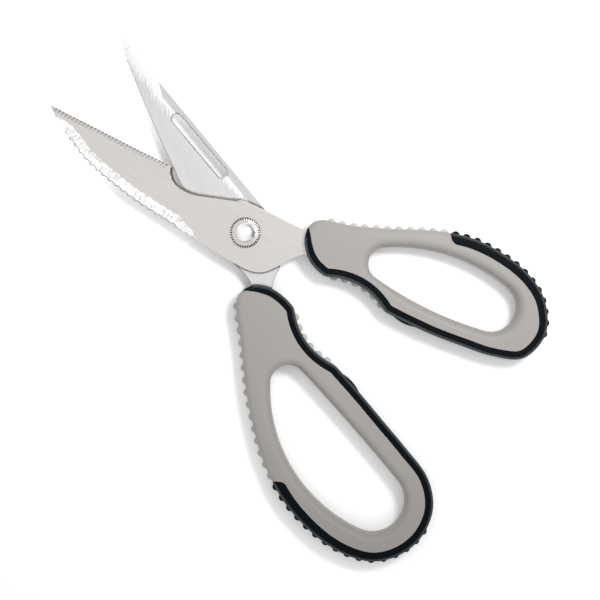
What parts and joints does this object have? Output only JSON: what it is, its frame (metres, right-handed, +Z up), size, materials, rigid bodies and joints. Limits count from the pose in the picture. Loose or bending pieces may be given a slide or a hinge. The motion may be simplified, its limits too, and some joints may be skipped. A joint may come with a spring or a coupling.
{
  "type": "game shears",
  "caption": "Game shears with a serrated, notched scaler blade and a slotted hollow-ground blade on a pivot bolt, and grey closed-loop handles edged with a dark soft band.",
  "frame": {"origin": "on the pivot axis, on the flat bolt head that rests on the table level with the undersides of the handles", "axes": "+X along the middle of the open blades towards their tips, +Z up from the table along the pivot axis"},
  "size_m": [0.2155, 0.1289, 0.013],
  "materials": {
    "blade_steel": "satin",
    "polished_steel": "polished",
    "grey_plastic": "satin",
    "soft_band": "matte"
  },
  "bodies": {
    "finger_half": {"rear_blade": "blade_steel", "finger_handle_body": "grey_plastic", "finger_handle_cover": "grey_plastic", "finger_grip_band": "soft_band", "finger_stop": "soft_band", "pivot_bolt": "polished_steel", "toothed_washer": "blade_steel", "pivot_nut": "polished_steel"},
    "thumb_half": {"front_blade": "blade_steel", "thumb_handle_body": "grey_plastic", "thumb_handle_cover": "grey_plastic", "thumb_grip_band": "soft_band", "thumb_stop": "soft_band"}
  },
  "joints": [
    {"name": "blade_pivot", "type": "hinge", "parent": "finger_half", "child": "thumb_half", "pos_m": [0, 0, 0], "axis": [0, 0, 1], "range_deg": [-24.5, 80]}
  ]
}
